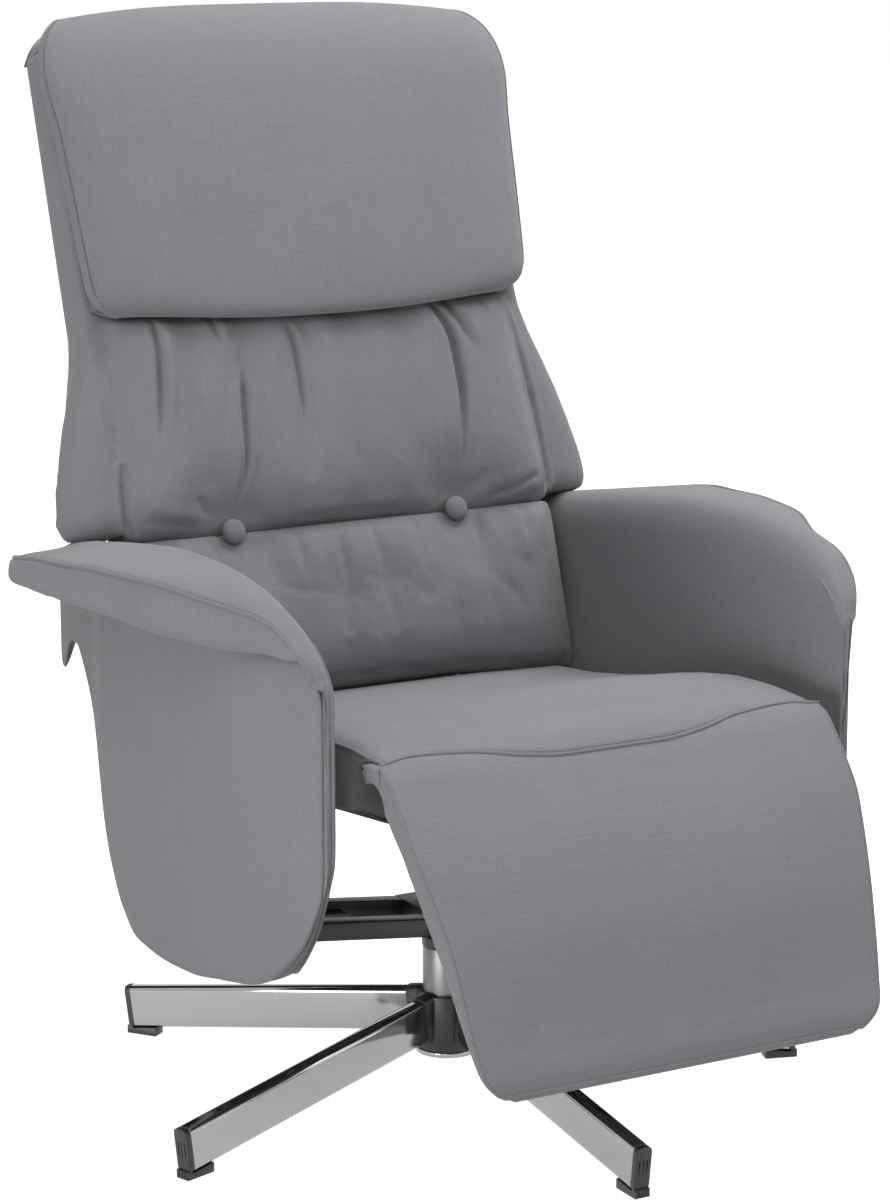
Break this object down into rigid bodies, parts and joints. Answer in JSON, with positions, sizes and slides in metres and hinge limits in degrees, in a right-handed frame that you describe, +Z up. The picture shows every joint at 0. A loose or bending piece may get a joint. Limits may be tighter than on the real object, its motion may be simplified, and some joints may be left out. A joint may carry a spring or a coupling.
{
  "type": "star base swivel recliner",
  "caption": "Padded swivel recliner on a star base, with winged tufted back, headrest pillow, flared arms and a linked footrest.",
  "frame": {"origin": "middle of the chair's footprint, on the floor", "axes": "+Z up, the sitter faces -Y, the sitter's right is -X"},
  "size_m": [0.7978, 0.8936, 1.0726],
  "materials": {
    "grey_fabric": "fine plain weave, mid grey, matt with a faint sheen",
    "chrome": "polished, mirror bright",
    "black_plastic": "moulded, satin",
    "column": "drawn tube, satin",
    "black_steel": "black powder coat",
    "steel": "zinc plated",
    "plywood": "plain, unfinished"
  },
  "bodies": {
    "base": {"base_leg_1": "chrome", "base_leg_2": "chrome", "base_leg_3": "chrome", "base_leg_4": "chrome", "base_leg_5": "chrome", "leg_end_cap_1": "black_plastic", "leg_end_cap_2": "black_plastic", "leg_end_cap_3": "black_plastic", "leg_end_cap_4": "black_plastic", "leg_end_cap_5": "black_plastic", "base_hub": "black_plastic", "hub_ring": "chrome", "column_tube": "column", "swivel_spindle": "steel"},
    "chassis": {"swivel_collar": "black_plastic", "swivel_head": "black_steel", "spider_left": "black_steel", "spider_right": "black_steel", "arm_bracket_left": "black_steel", "arm_bracket_right": "black_steel", "arm_liner_left": "grey_fabric", "arm_liner_right": "grey_fabric", "arm_outer_panel_left": "grey_fabric", "arm_outer_panel_right": "grey_fabric", "mechanism_plate_left": "black_steel", "mechanism_plate_right": "black_steel", "cross_rail_front": "black_steel", "cross_rail_rear": "black_steel", "seat_rail_front": "plywood", "seat_rail_rear": "plywood", "seat_rail_right": "plywood", "seat_rail_left": "plywood", "seat_spring_1": "steel", "seat_spring_2": "steel", "seat_spring_3": "steel", "seat_spring_4": "steel", "seat_cushion": "grey_fabric"},
    "backrest": {"back_shell": "grey_fabric", "back_cushion_lower": "grey_fabric", "back_cushion_upper": "grey_fabric", "headrest_cushion": "grey_fabric", "tuft_button_left": "grey_fabric", "tuft_button_right": "grey_fabric", "back_bracket_left": "black_steel", "back_bracket_right": "black_steel", "recline_pin_left": "steel", "recline_pin_right": "steel", "rod_rear_pin_left": "steel", "rod_rear_pin_right": "steel"},
    "footrest": {"footrest_board": "plywood", "footrest_cushion": "grey_fabric", "footrest_arm_left": "steel", "footrest_arm_right": "steel", "footrest_pin_left": "steel", "footrest_pin_right": "steel", "rod_front_pin_left": "steel", "rod_front_pin_right": "steel"},
    "rod_left": {"push_rod_left": "steel"},
    "rod_right": {"push_rod_right": "steel"}
  },
  "joints": [
    {"name": "swivel", "type": "hinge", "parent": "base", "child": "chassis", "pos_m": [0, 0.00188, 0.15], "axis": [0, 0, 1], "continuous": true},
    {"name": "recline", "type": "hinge", "parent": "chassis", "child": "backrest", "pos_m": [0, 0.21688, 0.352], "axis": [-1, 0, 0], "range_deg": [0, 35]},
    {"name": "footrest_lift", "type": "hinge", "parent": "chassis", "child": "footrest", "pos_m": [0, -0.28312, 0.388], "axis": [-1, 0, 0], "range_deg": [0, 63]},
    {"name": "rod_swing_left", "type": "hinge", "parent": "backrest", "child": "rod_left", "pos_m": [0, 0.23778, 0.28571], "axis": [-1, 0, 0], "range_deg": [-35, 0]},
    {"name": "rod_swing_right", "type": "hinge", "parent": "backrest", "child": "rod_right", "pos_m": [0, 0.23778, 0.28571], "axis": [-1, 0, 0], "range_deg": [-35, 0]}
  ],
  "couplings": [
    {"joint": "footrest_lift", "follows": "recline", "ratio": 1.8},
    {"joint": "rod_swing_left", "follows": "recline", "ratio": -1},
    {"joint": "rod_swing_right", "follows": "recline", "ratio": -1}
  ]
}
